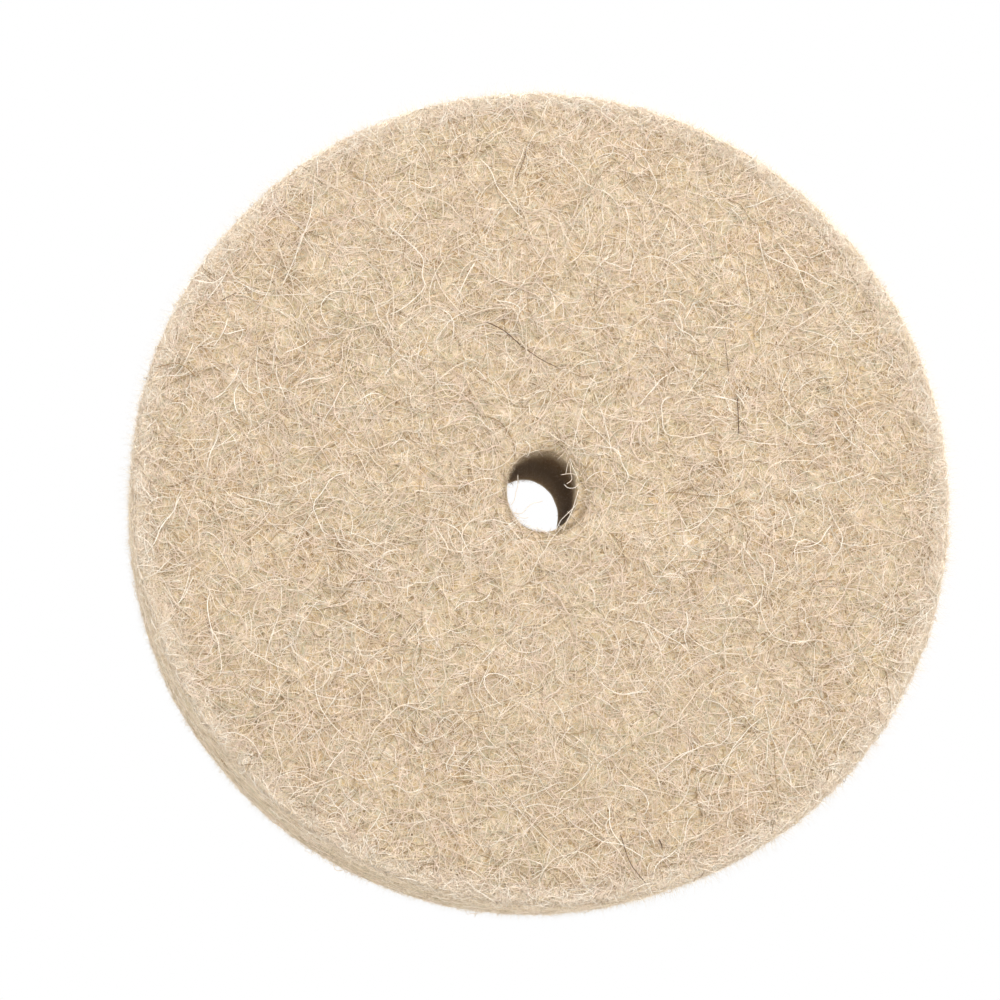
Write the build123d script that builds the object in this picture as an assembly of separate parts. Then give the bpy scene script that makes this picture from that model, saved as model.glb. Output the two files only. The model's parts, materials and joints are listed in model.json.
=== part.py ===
from build123d import *
import os

# A felt polishing wheel: one thick disc of hard-pressed wool felt, die-cut from a felt slab, with a
# plain round arbor hole through its middle. The real wheel has no hub, bush, flange or backing plate,
# so the disc is the only node.
#
# Millimetres, +Z up. The wheel stands upright and turns about Y. The origin is the centre of the
# arbor hole, half way through the thickness. The front working face looks along -Y.

# Driving dimensions
WHEEL_DIAMETER = 125.0
WHEEL_THICKNESS = 25.0
BORE_DIAMETER = 12.0
RIM_CORNER_RADIUS = 1.2    # where each face meets the rim: a cut edge, softened by wear
BORE_CORNER_RADIUS = 0.4   # the two mouths of the arbor hole

# Worked out from the driving dimensions
WHEEL_RADIUS = WHEEL_DIAMETER / 2
BORE_RADIUS = BORE_DIAMETER / 2
BETWEEN_BORE_AND_RIM = (WHEEL_RADIUS + BORE_RADIUS) / 2


def half_section():
    """The felt on one side of the axis: a rectangle from the bore wall to the rim, corners rounded."""
    blank = Pos(BETWEEN_BORE_AND_RIM, 0) * Rectangle(WHEEL_RADIUS - BORE_RADIUS, WHEEL_THICKNESS)
    rim_corners = blank.vertices().sort_by(Axis.X)[2:]
    section = fillet(rim_corners, RIM_CORNER_RADIUS)
    bore_corners = section.vertices().sort_by(Axis.X)[:2]
    return fillet(bore_corners, BORE_CORNER_RADIUS)


def felt_disc():
    """The whole wheel: the half section turned once round the Y axis."""
    return revolve(half_section(), Axis.Y, 360)


os.makedirs("parts", exist_ok=True)
export_step(felt_disc(), "parts/felt_disc.step")
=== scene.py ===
import json
import math

import bpy
import numpy as np
from mathutils import Matrix, Vector


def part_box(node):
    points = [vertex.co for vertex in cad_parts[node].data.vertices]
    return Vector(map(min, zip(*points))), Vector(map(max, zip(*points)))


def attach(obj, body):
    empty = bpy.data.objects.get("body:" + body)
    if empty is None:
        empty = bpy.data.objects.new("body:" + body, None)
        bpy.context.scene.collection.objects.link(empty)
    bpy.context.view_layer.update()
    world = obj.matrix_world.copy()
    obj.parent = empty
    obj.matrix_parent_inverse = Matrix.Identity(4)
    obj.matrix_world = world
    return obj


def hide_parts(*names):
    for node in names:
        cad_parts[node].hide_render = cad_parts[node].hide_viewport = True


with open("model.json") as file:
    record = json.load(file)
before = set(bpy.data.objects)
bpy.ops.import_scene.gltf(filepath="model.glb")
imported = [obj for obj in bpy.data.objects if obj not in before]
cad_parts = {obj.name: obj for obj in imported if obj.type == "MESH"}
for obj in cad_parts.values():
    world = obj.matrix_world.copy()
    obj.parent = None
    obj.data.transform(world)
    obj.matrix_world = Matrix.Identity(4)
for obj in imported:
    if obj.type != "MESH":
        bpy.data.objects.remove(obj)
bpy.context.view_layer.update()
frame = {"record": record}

# A felt polishing wheel in metres, standing upright: its axis is Y, its front face looks along -Y.
# The disc is a mesh with real relief, and on it lies the nap: thousands of wool fibres, each a thin
# closed tube that dips into the felt and comes out again.

# ---------------------------------------------------------------- sizes, from the frame
WHEEL_LOW, WHEEL_HIGH = (Vector(corner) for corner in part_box("felt_disc"))
WHEEL_RADIUS = (WHEEL_HIGH.x - WHEEL_LOW.x) / 2
HALF_THICKNESS = (WHEEL_HIGH.y - WHEEL_LOW.y) / 2
BORE = next(mount for mount in frame["record"]["mounts"] if mount["name"] == "bore")
MM = 0.001
BORE_RADIUS = BORE["dims"]["r_mm"] * MM
RIM_CORNER = 1.2 * MM     # radius of the softened edge between a face and the rim
BORE_CORNER = 0.6 * MM    # the same at the two mouths of the hole
FLAT_RADIUS = WHEEL_RADIUS - RIM_CORNER
NAP_RADIUS = WHEEL_RADIUS + 0.8 * MM    # the face nap goes this far out, measured over the edge
MARGIN = 2 * MM           # the rim within this distance of a face has the face's painted pale glow at the margin too
MARGIN_FADE = 1.5 * MM    # and the painted pale glow comes in over this distance
FRONT, BACK = -1, 1       # which way along Y a face looks

random = np.random.default_rng(20)


# ---------------------------------------------------------------- materials
def srgb(red, green, blue):
    """An sRGB colour of 0 to 255 as the linear colour a shader takes."""
    channels = np.array([red, green, blue]) / 255
    linear = np.where(channels <= 0.04045, channels / 12.92, ((channels + 0.055) / 1.055) ** 2.4)
    return (*linear.tolist(), 1.0)


def new_material(name):
    """A material with nodes, and its Principled shader."""
    material = bpy.data.materials.new(name)
    material.use_nodes = True
    return material, material.node_tree.nodes["Principled BSDF"]


def fibre_material(name, colour, roughness, sheen):
    """Wool fibre: one dyed-in colour, a dull surface and a soft glow at grazing angles."""
    material, shader = new_material(name)
    shader.inputs["Base Color"].default_value = colour
    shader.inputs["Roughness"].default_value = roughness
    shader.inputs["Specular IOR Level"].default_value = 0.35
    shader.inputs["Sheen Weight"].default_value = sheen
    shader.inputs["Sheen Roughness"].default_value = 0.4
    return material


FIBRES = {
    "cream": fibre_material("wool_cream", srgb(240, 225, 205), 0.6, 0.1),
    "rose": fibre_material("wool_rose", srgb(236, 216, 198), 0.65, 0.1),
    "straw": fibre_material("wool_straw", srgb(230, 212, 180), 0.65, 0.1),
    "tan": fibre_material("wool_tan", srgb(210, 187, 159), 0.68, 0.05),
    "white": fibre_material("wool_white", srgb(254, 246, 232), 0.42, 0.15),
    "grey": fibre_material("wool_grey", srgb(204, 195, 168), 0.65, 0.05),
    "brown": fibre_material("wool_brown", srgb(156, 130, 94), 0.68, 0.0),
    "dark": fibre_material("wool_dark", srgb(88, 64, 44), 0.6, 0.0),
    "fluff": fibre_material("wool_fluff", srgb(242, 229, 208), 0.8, 0.15),
}


class NodeKit:
    """Adds shader nodes to one material. Each method links a node up and gives its output."""

    def __init__(self, material):
        self.nodes = material.node_tree.nodes
        self.links = material.node_tree.links
        self.place = self.nodes.new("ShaderNodeTexCoord").outputs["Object"]

    def fill(self, socket, value):
        """Sets a socket to a constant, or links it to another node's output."""
        if isinstance(value, (int, float, tuple)):
            socket.default_value = value
        else:
            self.links.new(value, socket)

    def noise(self, scale, detail, offset, turned=0.0, stretch=1.0, distortion=0.0):
        """Noise whose grains are longer by stretch along a direction turned from X towards Z."""
        grain = self.nodes.new("ShaderNodeMapping")
        grain.vector_type = "TEXTURE"
        grain.inputs["Location"].default_value = (offset, offset * 0.7, offset * 1.3)
        grain.inputs["Rotation"].default_value = (0, math.radians(turned), 0)
        grain.inputs["Scale"].default_value = (stretch, 1, 1)
        self.links.new(self.place, grain.inputs["Vector"])
        texture = self.nodes.new("ShaderNodeTexNoise")
        texture.inputs["Scale"].default_value = scale
        texture.inputs["Detail"].default_value = detail
        texture.inputs["Distortion"].default_value = distortion
        self.links.new(grain.outputs["Vector"], texture.inputs["Vector"])
        return texture.outputs["Fac"]

    def maths(self, operation, first, second=0.0, clamp=False):
        node = self.nodes.new("ShaderNodeMath")
        node.operation = operation
        node.use_clamp = clamp
        self.fill(node.inputs[0], first)
        self.fill(node.inputs[1], second)
        return node.outputs[0]

    def past(self, value, start, over):
        """0 up to the start, and 1 once the value is over further on."""
        return self.maths("DIVIDE", self.maths("SUBTRACT", value, start), over, clamp=True)

    def ramp(self, value, *stops):
        """A colour for each value, from stops of (value, colour)."""
        node = self.nodes.new("ShaderNodeValToRGB")
        elements = node.color_ramp.elements
        for at, _ in stops[2:]:
            elements.new(at)
        for element, (at, colour) in zip(elements, stops):
            element.position = at
            element.color = colour
        self.links.new(value, node.inputs["Fac"])
        return node.outputs["Color"]

    def mix(self, share, first, second, blend="MIX"):
        node = self.nodes.new("ShaderNodeMix")
        node.data_type = "RGBA"
        node.blend_type = blend
        for number, value in ((0, share), (6, first), (7, second)):
            self.fill(node.inputs[number], value)
        return node.outputs[2]

    def strands(self, turned, offset, scale, width):
        """Thin wavy lines along one direction, where a stretched noise crosses its middle: 1 on a line."""
        grain = self.noise(scale, 0.0, offset, turned, stretch=5.0, distortion=0.5)
        away = self.maths("ABSOLUTE", self.maths("SUBTRACT", grain, 0.5))
        return self.maths("SUBTRACT", 1.0, self.maths("DIVIDE", away, width), clamp=True)

    def height_and_radius(self):
        """The place along the wheel's axis, and the distance from that axis."""
        split = self.nodes.new("ShaderNodeSeparateXYZ")
        self.links.new(self.place, split.inputs[0])
        across = self.nodes.new("ShaderNodeVectorMath")
        across.operation = "MULTIPLY"
        across.inputs[1].default_value = (1, 0, 1)
        self.links.new(self.place, across.inputs[0])
        from_axis = self.nodes.new("ShaderNodeVectorMath")
        from_axis.operation = "LENGTH"
        self.links.new(across.outputs[0], from_axis.inputs[0])
        return split.outputs["Y"], from_axis.outputs["Value"]


STRAND_COLOURS = [
    srgb(190, 166, 134), srgb(184, 174, 150), srgb(198, 174, 140), srgb(202, 182, 158),
    srgb(206, 186, 160), srgb(192, 186, 167), srgb(210, 190, 166), srgb(214, 196, 170),
]
# painted shade: the colour that darkens the small pits
PIT_SHADE_COLOUR = srgb(124, 98, 68)
# painted light: the pale glow round the edges of the faces
MARGIN_GLOW_COLOUR = srgb(246, 234, 217)
# painted shade: the darker colour of the shaded wall of the hole
HOLE_SHADE_COLOUR = srgb(118, 88, 42)


def mottled_ground(kit, grain):
    """The ground between the strands, in broad soft patches, darker than they are: partly the felt's own
    tone, partly painted shade in the gaps. Its small pits are painted shade.
    """
    ground = kit.ramp(
        kit.noise(130, 3.0, 2.1),
        (0.35, srgb(168, 142, 104)),
        (0.5, srgb(180, 158, 122)),
        (0.6, srgb(175, 161, 126)),
        (0.7, srgb(190, 162, 118)),
    )
    # painted shade in the low places of the fine grain, which the bump also takes as low
    pits = kit.ramp(grain, (0.32, PIT_SHADE_COLOUR), (0.5, srgb(255, 255, 255)))
    return kit.mix(0.75, ground, pits, "MULTIPLY")


def strewn_strands(kit, colour, tangle):
    """Thin strands over a colour, one set per direction, and the height of the tangle they make."""
    for number, strand_colour in enumerate(STRAND_COLOURS):
        line = kit.strands(
            turned=8 + number * 67, offset=0.11 + number * 0.17, scale=1350 + 110 * (number % 3), width=0.04
        )
        colour = kit.mix(kit.maths("MULTIPLY", line, 0.85), colour, strand_colour)
        tangle = kit.maths("MAXIMUM", kit.maths("MULTIPLY", tangle, 0.85), line)
    return colour, tangle


def hole_shade_share(kit, y, from_axis):
    """1 on the wall of the hole, where shade is painted, and 0 elsewhere. It rises slowly from the front
    mouth, where more light falls, and faster from the back.
    """
    at_wall = kit.maths("SUBTRACT", 1.0, kit.past(from_axis, BORE_RADIUS + 0.1 * MM, 0.6 * MM))
    mouth = HALF_THICKNESS - 0.2 * MM
    behind_front = kit.past(y, -mouth, 6 * MM)
    before_back = kit.maths("DIVIDE", kit.maths("SUBTRACT", mouth, y), 2 * MM, clamp=True)
    return kit.maths("MULTIPLY", at_wall, kit.maths("MULTIPLY", behind_front, before_back))


def margin_glow_share(kit, y, from_axis):
    """1 on the edges between the rim and the faces, where a pale glow is painted, and 0 elsewhere."""
    near_a_face = kit.past(kit.maths("ABSOLUTE", y), HALF_THICKNESS - MARGIN, MARGIN_FADE)
    return kit.maths("MULTIPLY", kit.past(from_axis, WHEEL_RADIUS - 3.4 * MM, 2.8 * MM), near_a_face)


def felt_material():
    """The felt under the nap: fine pale strands pressed every way, over a darker mottled ground with painted
    shade in its pits; a painted pale glow at the edges and painted shade on the wall of the hole.
    """
    material, shader = new_material("wool_felt")
    kit = NodeKit(material)
    grain = kit.noise(1500, 2.0, 4.2)
    colour, tangle = strewn_strands(kit, mottled_ground(kit, grain), grain)
    y, from_axis = kit.height_and_radius()
    # painted light: a pale glow at the edges between the faces and the rim
    painted_glow = kit.maths("MULTIPLY", margin_glow_share(kit, y, from_axis), 0.5)
    # painted shade on the wall of the hole, lighter for the first millimetres inside the front mouth
    painted_hole_shade = kit.maths("MULTIPLY", hole_shade_share(kit, y, from_axis), 0.95)
    colour = kit.mix(painted_hole_shade, kit.mix(painted_glow, colour, MARGIN_GLOW_COLOUR), HOLE_SHADE_COLOUR)
    kit.links.new(colour, shader.inputs["Base Color"])
    bump = kit.nodes.new("ShaderNodeBump")
    bump.inputs["Strength"].default_value = 0.6
    bump.inputs["Distance"].default_value = 0.3 * MM
    kit.links.new(tangle, bump.inputs["Height"])
    kit.links.new(bump.outputs["Normal"], shader.inputs["Normal"])
    shader.inputs["Roughness"].default_value = 0.85
    shader.inputs["Specular IOR Level"].default_value = 0.2
    shader.inputs["Sheen Weight"].default_value = 0.08
    shader.inputs["Sheen Roughness"].default_value = 0.5
    return material


# ---------------------------------------------------------------- meshes
def new_piece(name, points, faces_of_four, faces_of_three, materials, slots):
    """A smooth-shaded mesh object that rides on the wheel. slots gives a material number per face."""
    mesh = bpy.data.meshes.new(name)
    mesh.vertices.add(len(points))
    mesh.vertices.foreach_set("co", points.astype(np.float32).ravel())
    corners = np.concatenate([faces_of_four.ravel(), faces_of_three.ravel()])
    mesh.loops.add(len(corners))
    mesh.loops.foreach_set("vertex_index", corners.astype(np.int32))
    fours, threes = len(faces_of_four), len(faces_of_three)
    starts = np.concatenate([np.arange(fours) * 4, fours * 4 + np.arange(threes) * 3])
    mesh.polygons.add(fours + threes)
    mesh.polygons.foreach_set("loop_start", starts.astype(np.int32))
    for material in materials:
        mesh.materials.append(material)
    mesh.polygons.foreach_set("material_index", slots.astype(np.int32))
    mesh.update(calc_edges=True)
    mesh.shade_smooth()
    piece = bpy.data.objects.new(name, mesh)
    bpy.context.scene.collection.objects.link(piece)
    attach(piece, "root")
    return piece


def smooth_noise(x, y, z, wavelength, seed, waves=24):
    """A gentle random field of about that wavelength at points x, y, z: a sum of plane waves."""
    source = np.random.default_rng(seed)
    field = np.zeros_like(x)
    for _ in range(waves):
        direction = source.normal(size=3)
        direction *= 2 * math.pi / (wavelength * source.uniform(0.7, 1.6) * np.linalg.norm(direction))
        phase = source.uniform(0, 2 * math.pi)
        field += np.sin(x * direction[0] + y * direction[1] + z * direction[2] + phase)
    return field / math.sqrt(waves / 2)


def eased(share):
    """0 below 0, 1 above 1, and a soft step between."""
    share = np.clip(share, 0, 1)
    return share * share * (3 - 2 * share)


LUMPS = [(0.06, 7 * MM, 1), (0.07, 2.6 * MM, 2)]    # the felt's relief: (height in mm, wavelength, seed)
SWELLS = [(0.1, 50 * MM, 3)]
RIM_SINK = 0.5                      # mm that the rim lies below the plain disc, so that its nap fills it
PINCH_SIDES, PINCH_RIGHT = 0.6, 0.4    # mm that the punched hole is narrowed at both sides, and at the right
LIP_RIGHT, LIP_TOP = 0.4, -0.45     # mm more of the same towards the front mouth
MOUTH_DIP, MOUTH_TILT = 0.5, 0.25   # mm that a face sinks at the hole, and how much more at the right
MOUTH_REACH = 3.5 * MM


def uneven(x, y, z, layers):
    """The layers' random fields, each at its own height, added up."""
    return sum(height * smooth_noise(x, y, z, wavelength, seed) for height, wavelength, seed in layers)


def hole_pinch(x, y, z, from_axis):
    """How far the wall of the hole stands in from a true cylinder, in mm."""
    to_right = x / from_axis
    at_front = eased(-y / HALF_THICKNESS)
    lip = LIP_RIGHT * np.maximum(to_right, 0) + LIP_TOP * np.maximum(z / from_axis, 0)
    return PINCH_SIDES * to_right ** 2 + PINCH_RIGHT * to_right + lip * at_front


def relief(points):
    """How far the felt stands above or below the plain disc there: broad swells, lumps and hollows."""
    x, y, z = points[..., 0], points[..., 1], points[..., 2]
    from_axis = np.hypot(x, z)
    in_bore = 1 - eased((from_axis - BORE_RADIUS) / (0.5 * MM))
    on_face = eased((from_axis - BORE_RADIUS) / (3 * MM))
    near_rim = eased((from_axis - WHEEL_RADIUS + 5 * MM) / (4 * MM))
    rounded = eased((from_axis - FLAT_RADIUS) / RIM_CORNER)
    calm = (0.3 + 0.7 * on_face) * (1 - 0.8 * near_rim)
    lumps = uneven(x, y, z, LUMPS) * calm
    swells = uneven(x, y, z, SWELLS) * on_face * (1 - near_rim)
    return (lumps + swells + hole_pinch(x, y, z, from_axis) * in_bore - RIM_SINK * rounded) * MM


def mouth_dip(x, z):
    """How far a face sinks where it runs down to the hole, most on the right of it."""
    from_axis = np.maximum(np.hypot(x, z), 1e-6)
    near = np.clip(1 - (from_axis - BORE_RADIUS) / MOUTH_REACH, 0, 1)
    return (MOUTH_DIP + MOUTH_TILT * x / from_axis) * MM * near ** 2


def wheel_profile(step):
    """The half section as a closed loop of (radius, y, outward radius, outward y), about a step apart."""
    def corner(radius, y, size, start):
        """A quarter arc round a centre, from a start angle, turning towards the next side."""
        angles = math.radians(start) + np.linspace(0, math.pi / 2, 5)
        out = np.stack([np.cos(angles), np.sin(angles)], axis=1)
        return np.concatenate([np.array([radius, y]) + size * out, out], axis=1)

    rim_y = HALF_THICKNESS - RIM_CORNER
    bore_y = HALF_THICKNESS - BORE_CORNER
    turns = [
        corner(FLAT_RADIUS, -rim_y, RIM_CORNER, -90),
        corner(FLAT_RADIUS, rim_y, RIM_CORNER, 0),
        corner(BORE_RADIUS + BORE_CORNER, bore_y, BORE_CORNER, 90),
        corner(BORE_RADIUS + BORE_CORNER, -bore_y, BORE_CORNER, 180),
    ]
    loop = []
    for turn, following in zip(turns, turns[1:] + turns[:1]):
        loop.append(turn)
        gap = np.linalg.norm(following[0, :2] - turn[-1, :2])
        between = np.linspace(0, 1, max(2, round(gap / step)) + 1)[1:-1, None]
        loop.append(turn[-1] * (1 - between) + following[0] * between)
    return np.concatenate(loop)


def felt_body():
    """The disc itself, with shallow lumps and hollows pressed into its faces, rim and hole wall."""
    profile = wheel_profile(step=0.85 * MM)
    sectors = 470
    turn = np.arange(sectors) * 2 * math.pi / sectors
    radius, y, out_radius, out_y = (column[:, None] for column in profile.T)
    cos, sin = np.cos(turn)[None, :], np.sin(turn)[None, :]
    plain = np.stack([radius * cos, y + 0 * cos, radius * sin], axis=2)
    outward = np.stack([out_radius * cos, out_y + 0 * cos, out_radius * sin], axis=2)
    points = plain + outward * relief(plain)[..., None]
    points[..., 1] -= out_y * mouth_dip(plain[..., 0], plain[..., 2])
    count = len(profile)
    grid = np.arange(count * sectors).reshape(count, sectors)
    down, across = np.roll(grid, -1, axis=0), np.roll(grid, -1, axis=1)
    faces = np.stack([grid, across, np.roll(down, -1, axis=1), down], axis=2).reshape(-1, 4)
    no_threes = np.zeros((0, 3), int)
    body = new_piece(
        "felt_body", points.reshape(-1, 3), faces, no_threes, [felt_material()], np.zeros(len(faces))
    )
    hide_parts("felt_disc")


# ---------------------------------------------------------------- fibres
SIDES = 3                 # sides of a fibre's tube
TIP = 0.4                 # how thick a fibre's ends are, as a share of its middle
ROOT_DEPTH = 0.1 * MM     # how deep in the felt a fibre's end is
SHORTEST = 0.8 * MM       # a face fibre that is cut shorter than this is left out


def on_face(u, v, height, side):
    """Places flat coordinates on a face. Past the flat part they go round the corner, down the rim."""
    distance = np.maximum(np.hypot(u, v), 1e-6)
    over = distance - FLAT_RADIUS
    bend = np.clip(over / RIM_CORNER, 0, math.pi / 2)
    down_rim = np.maximum(over - RIM_CORNER * math.pi / 2, 0)
    radius = np.minimum(distance, FLAT_RADIUS) + (RIM_CORNER + height) * np.sin(bend)
    depth = RIM_CORNER - (RIM_CORNER + height) * np.cos(bend) + down_rim + mouth_dip(u, v)
    u, v = u / distance, v / distance
    outward = np.stack([u * np.sin(bend), side * np.cos(bend), v * np.sin(bend)], axis=-1)
    return np.stack([u * radius, side * (HALF_THICKNESS - depth), v * radius], axis=-1), outward


def on_rim(u, v, height):
    """Places flat coordinates on the rim: u runs round it and v across it. Past an edge they go over it."""
    flat = HALF_THICKNESS - RIM_CORNER
    over = np.abs(v) - flat
    bend = np.clip(over / RIM_CORNER, 0, math.pi / 2)
    onto_face = np.maximum(over - RIM_CORNER * math.pi / 2, 0)
    radius = FLAT_RADIUS + (RIM_CORNER + height) * np.cos(bend) - onto_face
    y = np.sign(v) * (np.minimum(np.abs(v), flat) + (RIM_CORNER + height) * np.sin(bend))
    angle = u / WHEEL_RADIUS
    cos, sin = np.cos(angle), np.sin(angle)
    outward = np.stack([cos * np.cos(bend), np.sign(v) * np.sin(bend), sin * np.cos(bend)], axis=-1)
    return np.stack([radius * cos, y, radius * sin], axis=-1), outward


def in_bore(u, v, height):
    """Places flat coordinates on the wall of the hole: u runs round it and v along it."""
    angle = u / BORE_RADIUS
    radius = BORE_RADIUS - height
    cos, sin = np.cos(angle), np.sin(angle)
    outward = np.stack([-cos, np.zeros_like(cos), -sin], axis=-1)
    return np.stack([radius * cos, v, radius * sin], axis=-1), outward


def lay(surface, u, v, height, *which):
    """Centre lines on a surface, lifted by the felt's own relief, and the directions out of it."""
    plain, outward = surface(u, v, np.zeros_like(height), *which)
    points, outward = surface(u, v, height + relief(plain), *which)
    return points, outward


def winding_lines(u, v, length, points, shape):
    """Flat centre lines that start at u, v, and wander with their own bend, crimp and heading."""
    along = np.linspace(0, 1, points)[None, :] * length[:, None]
    angle = shape["heading"] + shape["bend"] * along
    for sway, wave, phase in shape["crimp"]:
        angle = angle + sway * np.sin(2 * math.pi * along / wave + phase)
    step = (length / (points - 1))[:, None]
    middle = (angle[:, 1:] + angle[:, :-1]) / 2
    start = np.zeros((len(u), 1))
    du = np.concatenate([start, np.cumsum(np.cos(middle) * step, axis=1)], axis=1)
    dv = np.concatenate([start, np.cumsum(np.sin(middle) * step, axis=1)], axis=1)
    return u[:, None] + du, v[:, None] + dv


def random_shapes(count, bend, crimp, wave):
    """A heading, a steady bend (radians a metre) and two crimps (radians of sway) for each fibre."""
    column = (count, 1)
    waves = [
        (random.normal(0, crimp, column), random.uniform(0.7, 1.4, column) * wave),
        (random.normal(0, crimp * 0.7, column), random.uniform(1.7, 4, column) * wave),
    ]
    return {
        "heading": random.uniform(0, 2 * math.pi, column),
        "bend": random.normal(0, bend, column),
        "crimp": [(sway, length, random.uniform(0, 2 * math.pi, column)) for sway, length in waves],
    }


def humps(points, rise, lifted):
    """Heights along each fibre: low arches with the ends tucked into the felt, or one end lifted free."""
    count = len(rise)
    along = np.linspace(0, 1, points)[None, :]
    arches = random.choice([1, 1, 2], (count, 1))
    phase = random.uniform(0, 0.4, (count, 1))
    arch = np.abs(np.sin(math.pi * (along * arches + phase)))
    tucked = np.sin(math.pi * along).clip(0) ** 0.4
    lying = rise[:, None] * (0.25 + 0.75 * arch) * tucked - ROOT_DEPTH * (1 - tucked)
    free = rise[:, None] * np.sqrt(along) + lifted[:, None] * along ** 2 - ROOT_DEPTH * (1 - along)
    return np.where(lifted[:, None] > 0, free, lying)


def fibre_piece(name, batches, palette):
    """One mesh of many fibres. Each batch is (centre lines, outward directions, radii, colour numbers)."""
    points, fours, threes, slots_of_four, slots_of_three = [], [], [], [], []
    first = 0
    for lines, outward, radii, colours in batches:
        count, length = lines.shape[:2]
        tangent = np.gradient(lines, axis=1)
        tangent /= np.linalg.norm(tangent, axis=2, keepdims=True) + 1e-12
        side = np.cross(tangent, outward)
        side /= np.linalg.norm(side, axis=2, keepdims=True) + 1e-9
        up = np.cross(side, tangent)
        taper = np.ones(length)
        taper[0] = taper[-1] = TIP
        reach = (radii[:, None] * taper)[:, :, None]
        angles = math.pi / 2 + np.arange(SIDES) * 2 * math.pi / SIDES
        ring = [lines + reach * (math.cos(a) * side + math.sin(a) * up) for a in angles]
        points.append(np.stack(ring, axis=2).reshape(-1, 3))
        grid = first + np.arange(count * length * SIDES).reshape(count, length, SIDES)
        first += count * length * SIDES
        here, there = grid[:, :-1], grid[:, 1:]
        sides = np.stack([here, there, np.roll(there, -1, axis=2), np.roll(here, -1, axis=2)], axis=3)
        fours.append(sides.reshape(-1, 4))
        threes.append(np.concatenate([grid[:, 0], grid[:, -1, ::-1]], axis=1).reshape(-1, 3))
        slots_of_four.append(np.repeat(colours, (length - 1) * SIDES))
        slots_of_three.append(np.repeat(colours, 2))
    return new_piece(
        name,
        np.concatenate(points),
        np.concatenate(fours),
        np.concatenate(threes),
        [FIBRES[colour] for colour in palette],
        np.concatenate(slots_of_four + slots_of_three),
    )


# how common each colour is deep in the nap, on top of it, among the long strands and at the margin; the
# darker mix deep down is painted shade, the paler mixes on top and at the margin are painted light
PALETTE = ["cream", "rose", "straw", "tan", "white", "grey", "brown", "fluff"]
SHADED_DEEP_SHARES = np.array([0.16, 0.17, 0.18, 0.27, 0.01, 0.12, 0.09, 0.0])
LIT_TOP_SHARES = np.array([0.44, 0.26, 0.1, 0.01, 0.15, 0.04, 0.0, 0.0])
STRAND_SHARES = np.array([0.5, 0.14, 0.0, 0.0, 0.34, 0.02, 0.0, 0.0])
# painted light: the paler, whiter mix that gives the fibres a glow near the edges
EDGE_GLOW_SHARES = np.array([0.42, 0.07, 0.07, 0.01, 0.36, 0.01, 0.01, 0.05])
PATCHES = {    # how wide the patches are where a colour is commoner, and how strong
    "rose": (6 * MM, 0.25),
    "straw": (5 * MM, 0.25),
    "tan": (3 * MM, 0.3),
    "grey": (4 * MM, 0.3),
    "brown": (2.5 * MM, 0.4),
}


def pick_colours(height_share, lines, top_shares=LIT_TOP_SHARES):
    """A colour number per fibre: darker low down (0) as painted shade, paler on top (1) as painted light,
    paler at the edges as a painted glow, and in patches.
    """
    x, y, z = lines[:, lines.shape[1] // 2].T
    near_a_face = eased((np.abs(y) - HALF_THICKNESS + MARGIN) / MARGIN_FADE)
    # painted light: fibres near the edges get the paler glow mix
    edge_glow = (eased((np.hypot(x, z) - WHEEL_RADIUS + 4.5 * MM) / (4 * MM)) * near_a_face)[:, None]
    shares = SHADED_DEEP_SHARES + (top_shares - SHADED_DEEP_SHARES) * height_share[:, None]
    shares = shares + (EDGE_GLOW_SHARES - shares) * edge_glow
    patches = np.ones_like(shares)
    for colour, (wavelength, strength) in PATCHES.items():
        number = PALETTE.index(colour)
        patches[:, number] = np.exp(strength * smooth_noise(x, y, z, wavelength, 10 + number))
    shares = shares * patches
    shares /= shares.sum(axis=1, keepdims=True)
    draw = random.uniform(0, 1, (len(x), 1))
    return (draw > np.cumsum(shares, axis=1)).sum(axis=1).clip(0, len(PALETTE) - 1)


def varied_lengths(count, typical, spread, longest):
    """Fibre lengths round a typical one."""
    return np.clip(random.lognormal(math.log(typical), spread, count), typical * 0.35, longest)


def varied_radii(count, thickness):
    """Fibre radii round half a typical thickness."""
    return random.normal(1, 0.2, count).clip(0.5, 1.6) * thickness / 2


def face_nap(
    name, side, fibres, points, typical, longest, rise, thickness, bend, crimp, wave, lift_share,
    top_shares=LIT_TOP_SHARES, inside=BORE_RADIUS,
):
    """Fibres lying tangled on one face. They stop at the hole and a little past the outer edge."""
    spread = np.sqrt(random.uniform((inside / NAP_RADIUS) ** 2, 1, fibres)) * NAP_RADIUS
    angle = random.uniform(0, 2 * math.pi, fibres)
    u, v = spread * np.cos(angle), spread * np.sin(angle)
    length = varied_lengths(fibres, typical, 0.4, longest)
    shape = random_shapes(fibres, bend, crimp, wave)
    far_u, far_v = winding_lines(u, v, length, points, shape)
    distance = np.hypot(far_u, far_v)
    reach = NAP_RADIUS - random.exponential(0.4 * MM, (fibres, 1))
    outside = (distance < BORE_RADIUS + 0.1 * MM) | (distance > reach)
    cut = np.where(outside.any(axis=1), np.argmax(outside, axis=1) / (points - 1), 1.0)
    length = length * np.maximum(cut, 0.01)
    far_u, far_v = winding_lines(u, v, length, points, shape)
    high = random.exponential(rise, fibres).clip(0.02 * MM, 6 * rise)
    inner = np.hypot(far_u, far_v).max(axis=1) < FLAT_RADIUS - 1 * MM
    free = inner & (random.uniform(0, 1, fibres) < lift_share)
    lifted = np.where(free, random.exponential(0.4 * MM, fibres), 0)
    lines, outward = lay(on_face, far_u, far_v, humps(points, high, lifted), side)
    # higher and lifted fibres get the paler mix as painted light, lower ones the darker mix as painted shade
    colours = pick_colours((high / (3 * rise) + free * 0.5).clip(0, 1), lines, top_shares)
    radii = varied_radii(fibres, thickness)
    keep = length > SHORTEST
    return fibre_piece(name, [(lines[keep], outward[keep], radii[keep], colours[keep])], PALETTE)


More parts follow.
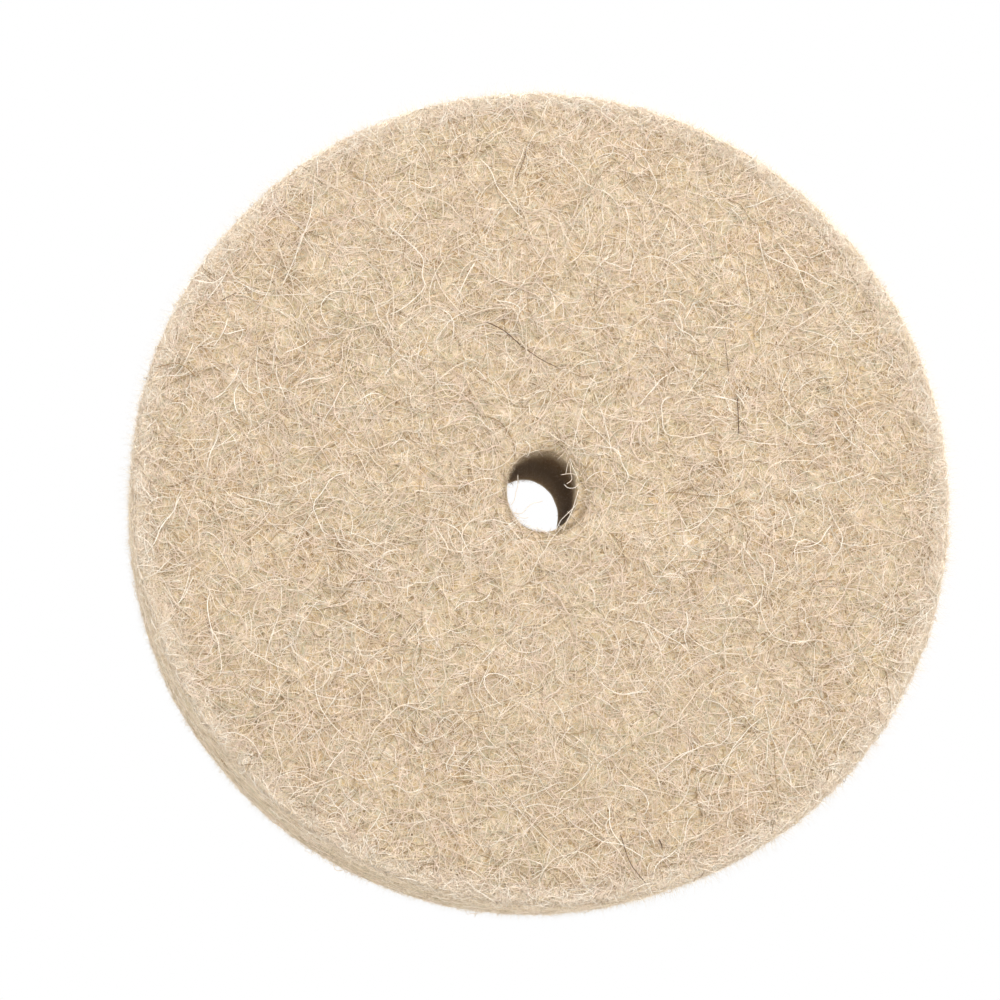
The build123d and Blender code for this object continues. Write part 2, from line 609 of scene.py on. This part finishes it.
def rim_nap(name, fibres, points, typical, longest, rise, thickness, bend, crimp, wave):
    """Fibres lying round the rim, pressed flatter than those on the faces."""
    u = random.uniform(0, 2 * math.pi, fibres) * WHEEL_RADIUS
    v = random.uniform(-1, 1, fibres) * HALF_THICKNESS
    length = varied_lengths(fibres, typical, 0.4, longest)
    u, v = winding_lines(u, v, length, points, random_shapes(fibres, bend, crimp, wave))
    high = random.exponential(rise, fibres).clip(0.02 * MM, 6 * rise)
    lines, outward = lay(on_rim, u, v, humps(points, high, np.zeros(fibres)))
    keep = np.abs(v).max(axis=1) < HALF_THICKNESS + 1.5 * MM
    # higher fibres get the paler mix as painted light, lower ones the darker mix as painted shade
    colours = pick_colours((high / (3 * rise)).clip(0, 1), lines)
    radii = varied_radii(fibres, thickness)
    return fibre_piece(name, [(lines[keep], outward[keep], radii[keep], colours[keep])], PALETTE)


def standing_fuzz(name, surface, u, v, typical, thickness, palette, *which):
    """Very fine short hairs that stand out of a surface, each a slim closed spike."""
    hairs = len(u)
    length = random.exponential(typical, hairs).clip(0.25 * typical, 1.7 * typical)
    lean = random.uniform(0.1, 1.3, hairs)
    heading = random.uniform(0, 2 * math.pi, hairs)
    root, outward = lay(surface, u, v, np.full(hairs, -ROOT_DEPTH), *which)
    level = np.cross(outward, np.stack([np.cos(heading), np.sin(heading), np.sin(heading * 3)], axis=1))
    level /= np.linalg.norm(level, axis=1, keepdims=True) + 1e-9
    along = outward * np.cos(lean)[:, None] + level * np.sin(lean)[:, None]
    side = np.cross(along, outward + 0.3 * level)
    side /= np.linalg.norm(side, axis=1, keepdims=True) + 1e-9
    other = np.cross(side, along)
    radius = varied_radii(hairs, thickness)[:, None]
    turns = np.arange(SIDES) * 2 * math.pi / SIDES
    base = [root + radius * (math.cos(turn) * side + math.sin(turn) * other) for turn in turns]
    points = np.stack([*base, root + along * length[:, None]], axis=1)
    first = np.arange(hairs)[:, None, None] * 4
    faces = first + np.array([(0, 1, 3), (1, 2, 3), (2, 0, 3), (2, 1, 0)])
    slots = np.repeat(random.integers(0, len(palette), hairs), 4)
    materials = [FIBRES[colour] for colour in palette]
    no_fours = np.zeros((0, 4), int)
    return new_piece(name, points.reshape(-1, 3), no_fours, faces.reshape(-1, 3), materials, slots)


def ring_places(count, middle, spread):
    """Flat coordinates round a face at about one distance from the axis."""
    distance = random.normal(middle, spread, count)
    angle = random.uniform(0, 2 * math.pi, count)
    return distance * np.cos(angle), distance * np.sin(angle)


def band_places(count, radius, half_width):
    """Flat coordinates all round a cylinder: the first runs round it and the second along its axis."""
    u = random.uniform(0, 2 * math.pi, count) * radius
    v = random.uniform(-1, 1, count) * half_width
    return u, v


def smooth_through(values, at):
    """A Catmull-Rom curve through values at 0, 1, 2 and so on, read at those places."""
    padded = np.concatenate([[2 * values[0] - values[1]], values, [2 * values[-1] - values[-2]]])
    start = np.minimum(at.astype(int), len(values) - 2)
    t = at - start
    before, here, there, beyond = (padded[start + offset] for offset in range(4))
    bend = 2 * before - 5 * here + 4 * there - beyond
    twist = 3 * here - before - 3 * there + beyond
    return here + 0.5 * t * (there - before + t * (bend + t * twist))


MOUTH_HAIR_DEPTH = 0.35 * MM


def over_mouth(u, v, height):
    """Places flat coordinates across the open mouth of the hole, just below the front face."""
    y = -HALF_THICKNESS + MOUTH_HAIR_DEPTH - height
    outward = np.stack([0 * u, 0 * u - 1, 0 * u], axis=-1)
    return np.stack([u, y, v], axis=-1), outward


POINTS_PER_KNOT = 5


def single_hairs(name, surface, hairs):
    """Hairs laid one by one: (colour, thickness, height, points as x, z), all in millimetres."""
    batches, palette = [], []
    for colour, thickness, height, route in hairs:
        knots = np.array(route, float) * MM
        at = np.linspace(0, len(knots) - 1, POINTS_PER_KNOT * len(knots))
        u, v = (smooth_through(knots[:, axis], at)[None] for axis in (0, 1))
        level = (height * MM * np.sin(math.pi * at / at[-1]).clip(0) ** 0.4)[None]
        if surface is on_face:
            lines, outward = lay(on_face, u, v, level, FRONT)
        else:
            lines, outward = surface(u, v, level)
        if colour not in palette:
            palette.append(colour)
        batches.append((lines, outward, np.array([thickness * MM / 2]), np.array([palette.index(colour)])))
    return fibre_piece(name, batches, palette)


# ---------------------------------------------------------------- the wheel
LOW_NAPS = {FRONT: 3, BACK: 2}                   # how many meshes of short low fibres a face has
HIGH_NAPS = 4                                    # the same for longer fibres on top of them
MARGIN_NAPS = {FRONT: 2, BACK: 1}                # the same for extra fibres round the edge
EDGE_FLUFF = {FRONT: 1.6 * MM, BACK: 0.9 * MM}   # typical length of the fuzz round the edge
RIM_NAPS = 2


def dress_face(side, label):
    """One face's nap: low fibres, high fibres, long strands, a fuller margin, and fuzz at edge and mouth."""
    for number in range(1, LOW_NAPS[side] + 1):
        face_nap(
            f"nap_low_{label}_{number}", side, fibres=6200, points=6,
            typical=3.2 * MM, longest=7 * MM, rise=0.05 * MM, thickness=0.09 * MM,
            bend=380, crimp=0.38, wave=2.4 * MM, lift_share=0.02,
        )
    for number in range(1, HIGH_NAPS + 1):
        face_nap(
            f"nap_high_{label}_{number}", side, fibres=4000, points=9,
            typical=5.6 * MM, longest=12 * MM, rise=0.14 * MM, thickness=0.084 * MM,
            bend=250, crimp=0.32, wave=3.2 * MM, lift_share=0.15,
        )
    face_nap(
        f"strands_{label}", side, fibres=2200, points=12,
        typical=7 * MM, longest=20 * MM, rise=0.3 * MM, thickness=0.105 * MM,
        bend=150, crimp=0.24, wave=5 * MM, lift_share=0.2, top_shares=STRAND_SHARES,
    )
    for number in range(1, MARGIN_NAPS[side] + 1):
        face_nap(
            f"nap_edge_{label}_{number}", side, fibres=6000, points=6,
            typical=2.8 * MM, longest=5 * MM, rise=0.2 * MM, thickness=0.085 * MM,
            bend=300, crimp=0.3, wave=2.6 * MM, lift_share=0, inside=WHEEL_RADIUS - 4 * MM,
        )
    u, v = ring_places(24000, FLAT_RADIUS + 0.9 * MM, 0.8 * MM)
    # the edge fuzz is paler than the nap: painted light, a glow round the edge
    colours = ["fluff", "cream", "straw"]
    standing_fuzz(f"edge_fuzz_{label}", on_face, u, v, EDGE_FLUFF[side], 0.03 * MM, colours, side)
    u, v = ring_places(9000, BORE_RADIUS + 0.4 * MM, 0.3 * MM)
    colours = ["straw", "tan", "brown"]
    standing_fuzz(f"mouth_fuzz_{label}", on_face, u, v, 0.35 * MM, 0.03 * MM, colours, side)


def dress_rim():
    """The rim's nap, and the fine fuzz over it."""
    for number in range(1, RIM_NAPS + 1):
        rim_nap(
            f"nap_rim_{number}", fibres=4500, points=8,
            typical=2.6 * MM, longest=7 * MM, rise=0.07 * MM, thickness=0.075 * MM,
            bend=250, crimp=0.4, wave=2.5 * MM,
        )
    u, v = band_places(48000, WHEEL_RADIUS, HALF_THICKNESS - RIM_CORNER)
    standing_fuzz("rim_fuzz", on_rim, u, v, 0.65 * MM, 0.03 * MM, ["fluff", "straw"])


def dress_hole():
    """Short fuzz on the wall of the hole, in brown and tan: painted shade, like the wall's darker colour."""
    u, v = band_places(9000, BORE_RADIUS, HALF_THICKNESS - BORE_CORNER)
    # painted shade: brown and tan fuzz, darker than the felt's own wool
    standing_fuzz("bore_fuzz", in_bore, u, v, 0.25 * MM, 0.04 * MM, ["brown", "tan"])


# single hairs that stand out: (colour, thickness, height, points as x, z), all in millimetres
DARK_HAIRS = [
    ("dark", 0.17, 0.8, [(-9.1, 25.9), (-6.4, 24.4), (-3.8, 22.3)]),
    ("dark", 0.14, 0.7, [(-3.8, 22.3), (-1, 20.3), (2.1, 18.9)]),
    ("dark", 0.1, 0.6, [(27.6, 24.2), (27.8, 21.3), (28.1, 18.8)]),
    ("dark", 0.16, 0.7, [(29.4, 15.2), (29.4, 12.4), (29.5, 9.4)]),
    ("brown", 0.14, 0.7, [(29.4, 15.2), (28.8, 15.9), (29.3, 16.7), (30.1, 16.3), (30.3, 15.3)]),
    ("dark", 0.09, 0.5, [(-2.8, 53.6), (-3.4, 51), (-4.6, 48.1)]),
    ("brown", 0.16, 0.6, [(-59, 17.6), (-55.3, 18.3), (-52.6, 16.3)]),
    ("dark", 0.11, 0.6, [(-49.1, 28.1), (-48, 28.7), (-46.8, 29.5)]),
    ("dark", 0.14, 0.7, [(11, -51.3), (12.3, -55.4), (15, -58.9)]),
    ("dark", 0.2, 0.6, [(16.8, -52.1), (17.3, -53.3)]),
]
PALE_HAIRS = [
    ("white", 0.1, 0.3, [
        (-41.6, 45), (-41.2, 43.4), (-40.3, 42.3), (-39.1, 41.5), (-37.9, 40.3), (-36.6, 39.1),
    ]),
    ("white", 0.11, 0.35, [(-37.8, 39.5), (-36.6, 37.9), (-35.4, 36.3), (-34.5, 35.5)]),
    ("cream", 0.12, 0.35, [
        (-40.9, 38), (-40.4, 36.3), (-39.9, 34.7), (-39.3, 33.1), (-38.6, 31.7), (-38.3, 29.8), (-38.5, 28.2),
    ]),
    ("white", 0.11, 0.35, [
        (-50.3, 34.8), (-48.6, 34.5), (-47.8, 33.2), (-47.1, 31.6),
        (-45.2, 30.4), (-43.4, 29.7), (-41.5, 29.4),
    ]),
    ("white", 0.1, 0.4, [
        (-47.6, 31.4), (-45.9, 30.8), (-44.6, 29.9), (-42.5, 29.2), (-39, 29.3), (-35.5, 29.5),
    ]),
    ("white", 0.15, 0.45, [(-48.8, 23.3), (-48.2, 23), (-46.9, 23.4), (-45.4, 23.9)]),
    ("cream", 0.11, 0.3, [(-52.8, 24.2), (-51.8, 23.1), (-50.9, 22)]),
    ("white", 0.11, 0.3, [(-50.7, 18.6), (-49.4, 17.7), (-48, 16.7)]),
    ("cream", 0.11, 0.3, [(-47.9, 29.7), (-47.7, 29.1), (-46.8, 28.5), (-46.2, 27.5)]),
    ("cream", 0.11, 0.3, [(-41, 31.8), (-40.7, 30.2), (-39.8, 29), (-38.7, 28), (-37.8, 26.1)]),
    ("cream", 0.11, 0.3, [(-38.6, 27), (-38.9, 25.2), (-38.9, 23.7), (-38.3, 21.9), (-37.8, 20.4)]),
    ("white", 0.15, 0.4, [(9.5, -46.4), (9.5, -50.2), (11.2, -52.8), (12.7, -53.7), (14.6, -54.9)]),
    ("white", 0.145, 0.65, [(18.8, 18.4), (17.7, 17.7), (16.7, 16.5), (15.4, 15), (14.1, 13.3)]),
    ("white", 0.155, 0.7, [(25.5, 15.3), (27.6, 14.9), (29.9, 14.3)]),
    ("white", 0.155, 0.7, [(29.1, 15.8), (29.9, 14.8), (30.5, 13.8)]),
    ("white", 0.135, 0.65, [(19.7, 27.1), (20.4, 25.6), (22.2, 24.6), (23.3, 23.5)]),
    ("white", 0.125, 0.6, [(17, 29.5), (18.9, 30), (20.7, 29.6), (21.6, 28.6)]),
    ("cream", 0.145, 0.6, [(25, 30.1), (26.3, 29.8), (28.1, 29.2), (28.2, 29.8), (27.5, 30.3)]),
    ("cream", 0.175, 0.65, [(25.9, 34.5), (26.8, 33.3)]),
    ("white", 0.135, 0.65, [(35.8, 39.7), (37.1, 37.9), (38.6, 36.2), (39.5, 33.8), (40.3, 31.9)]),
    ("cream", 0.135, 0.6, [(38.1, 34), (40.1, 32.9), (41.6, 31.7), (43, 29.7), (43.5, 28)]),
    ("cream", 0.135, 0.6, [(43.6, 30.6), (42, 28.6), (40.5, 27.5), (39.2, 26.8)]),
    ("cream", 0.145, 0.6, [(6.8, 12.7), (9.5, 11.9), (11.6, 11.3), (14.9, 11), (16.4, 11.8)]),
    ("cream", 0.135, 0.6, [(19.4, 9.1), (21.4, 8.7), (23.4, 9.2), (25.3, 9.7)]),
    ("white", 0.125, 0.6, [(30, 8.7), (32.6, 8.1), (35.8, 8)]),
    ("white", 0.125, 0.6, [(37.8, 9.9), (39.3, 8.4), (40.6, 8.1), (43.5, 8.3)]),
    ("white", 0.145, 0.7, [
        (-24, 40.3), (-21.9, 38.6), (-20, 36.9), (-18.7, 35.1), (-18.9, 32.8), (-18.5, 31.1),
        (-20, 29.1), (-22.1, 27.4), (-23.8, 26.6),
    ]),
    ("cream", 0.135, 0.6, [(-17.1, 35.3), (-16.8, 32.9), (-15.7, 30.3), (-13.6, 27.8), (-11.6, 25.8)]),
    ("white", 0.135, 0.65, [
        (-9.9, 51.3), (-8.4, 49.4), (-7.5, 47), (-6, 45.1), (-4.8, 43.3), (-3.4, 42.2),
    ]),
    ("cream", 0.145, 0.6, [(-12.1, 26.6), (-9, 27.8), (-6.1, 28), (-4.1, 27.7)]),
    ("white", 0.135, 0.65, [(-7.5, 29.2), (-5.6, 28.9), (-4.1, 28.2), (-4.1, 27.1)]),
    ("white", 0.145, 0.65, [(-10.7, 18.5), (-9.9, 17.8), (-9, 16.8)]),
    ("cream", 0.135, 0.6, [(-19.1, 45.7), (-16.8, 44.8), (-14.8, 43.9), (-13.6, 42.6), (-11.8, 41)]),
    ("white", 0.135, 0.6, [(-20.8, 47.5), (-18.7, 46.4), (-17.2, 46.6), (-16.8, 47.2)]),
]
MOUTH_HAIRS = [
    ("cream", 0.12, 0.0, [(-4.2, 2.6), (-4.2, 1), (-4.5, 0), (-4.7, -1.2), (-5.3, -2.1)]),
    ("cream", 0.12, 0.2, [
        (-5.0, -3.2), (-3.8, -3.3), (-3.3, -3), (-2.6, -2.2), (-1.9, -1.7), (-1, -1.5), (-0.4, -1.3),
    ]),
    ("cream", 0.11, 0.1, [(-4.9, -3.4), (-4.0, -3.8), (-3.3, -4), (-2.6, -3.9)]),
    ("white", 0.12, 0.1, [(-3.2, -5.0), (-2.3, -5.2), (-1.2, -5.5), (-0.2, -5.9), (0.8, -6.3)]),
    ("cream", 0.1, 0.0, [(3.8, 5.4), (3.4, 4.4), (3.2, 3.6), (3.1, 2.9)]),
    ("cream", 0.1, 0.1, [(2.3, 2.7), (3.1, 2.85), (4.2, 2.9), (5.3, 2.4), (6.4, 2.5)]),
    ("white", 0.11, 0.2, [
        (3.7, 5.3), (4.1, 4), (4.5, 3.2), (4.9, 2.2), (5.0, 1.4),
        (4.6, 0.9), (4.0, 0.7), (3.3, 0.8), (2.8, 1.3),
    ]),
    ("white", 0.11, 0.3, [
        (4.8, 2.8), (5.1, 1), (4.8, -0.2), (4.4, -1.5), (4.1, -2.4), (3.7, -3.4), (3.2, -4.4), (2.6, -5.9),
    ]),
    ("white", 0.1, 0.25, [
        (5.6, 0.8), (5.1, -0.6), (4.8, -1.6), (4.2, -2.3), (3.5, -3), (2.8, -3.7), (2.2, -4.4), (1.4, -6.1),
    ]),
    ("cream", 0.1, 0.35, [(3.2, -2.8), (3.9, -3.4), (4.5, -4.1), (5.3, -4.9), (6.0, -5.4)]),
    ("cream", 0.12, 0.0, [(3.9, 4.6), (3.8, 3.4), (4.0, 2.2), (3.7, 1.7), (3.2, 1.4)]),
]

felt_body()
dress_face(FRONT, "front")
dress_face(BACK, "back")
dress_rim()
dress_hole()
single_hairs("dark_hairs", on_face, DARK_HAIRS)
single_hairs("pale_hairs", on_face, PALE_HAIRS)
single_hairs("mouth_hairs", over_mouth, MOUTH_HAIRS)


# ---------------------------------------------------------------- studio
def add_floor():
    """A wide pale floor, well below the wheel. Like the surround, it looks plain white."""
    reach, drop = 4.0, -0.13
    corners = [(-reach, -reach, drop), (reach, -reach, drop), (reach, reach, drop), (-reach, reach, drop)]
    mesh = bpy.data.meshes.new("floor")
    mesh.from_pydata(corners, [], [(0, 1, 2, 3)])
    material, shader = new_material("floor_paper")
    shader.inputs["Base Color"].default_value = srgb(212, 211, 209)
    shader.inputs["Emission Color"].default_value = (1, 1, 1, 1)
    path = material.node_tree.nodes.new("ShaderNodeLightPath")
    material.node_tree.links.new(path.outputs["Is Camera Ray"], shader.inputs["Emission Strength"])
    shader.inputs["Roughness"].default_value = 0.9
    shader.inputs["Specular IOR Level"].default_value = 0.1
    mesh.materials.append(material)
    floor = bpy.data.objects.new("floor", mesh)
    bpy.context.scene.collection.objects.link(floor)


def add_world(fill):
    """A white surround that the camera sees as plain white and that lights the wheel evenly."""
    world = bpy.data.worlds.new("studio")
    bpy.context.scene.world = world
    world.use_nodes = True
    nodes, links = world.node_tree.nodes, world.node_tree.links
    soft = nodes["Background"]
    soft.inputs["Color"].default_value = (1.0, 0.99, 0.985, 1)
    soft.inputs["Strength"].default_value = fill
    seen = nodes.new("ShaderNodeBackground")
    seen.inputs["Color"].default_value = (1, 1, 1, 1)
    path = nodes.new("ShaderNodeLightPath")
    choose = nodes.new("ShaderNodeMixShader")
    links.new(path.outputs["Is Camera Ray"], choose.inputs["Fac"])
    links.new(soft.outputs[0], choose.inputs[1])
    links.new(seen.outputs[0], choose.inputs[2])
    links.new(choose.outputs[0], nodes["World Output"].inputs["Surface"])


def add_softbox(name, place, size, power, colour=(1, 1, 1)):
    """A square area light aimed at the wheel."""
    light = bpy.data.lights.new(name, "AREA")
    light.size = size
    light.energy = power
    light.color = colour
    softbox = bpy.data.objects.new(name, light)
    softbox.location = place
    softbox.rotation_euler = (-Vector(place)).to_track_quat("-Z", "Y").to_euler()
    bpy.context.scene.collection.objects.link(softbox)


def add_camera():
    """A long lens a little to the left of the wheel's axis and below it, looking slightly up."""
    turn, rise = math.radians(-6.6), math.radians(-9.44)
    distance, aim_left, aim_below = 0.533, 0.0069, 0.0012
    right = Vector((math.cos(turn), math.sin(turn), 0))
    back = Vector((math.sin(turn) * math.cos(rise), -math.cos(turn) * math.cos(rise), math.sin(rise)))
    up = back.cross(right)
    face_centre = Vector((0, WHEEL_LOW.y, 0))
    place = face_centre - right * aim_left - up * aim_below + back * distance
    camera = bpy.data.objects.new("camera", bpy.data.cameras.new("camera"))
    camera.data.lens = 127.5
    camera.data.sensor_width = 36
    camera.data.clip_start = 0.01
    axes = Matrix((right, up, back)).transposed().to_4x4()
    camera.matrix_world = Matrix.Translation(place) @ axes
    bpy.context.scene.collection.objects.link(camera)
    bpy.context.scene.camera = camera


add_floor()
add_world(fill=0.9)
add_softbox("key_light", place=(0.12, -0.48, 0.57), size=0.5, power=6.3, colour=(0.98, 0.98, 1.0))
add_softbox("left_light", place=(-1.0, -0.25, 0.3), size=0.8, power=2.5)
add_softbox("right_light", place=(1.0, -0.1, 0.2), size=0.8, power=4.6)
add_softbox("back_light", place=(0.3, 1.0, 0.6), size=0.8, power=9)
add_camera()
bpy.context.scene.view_settings.view_transform = "Standard"
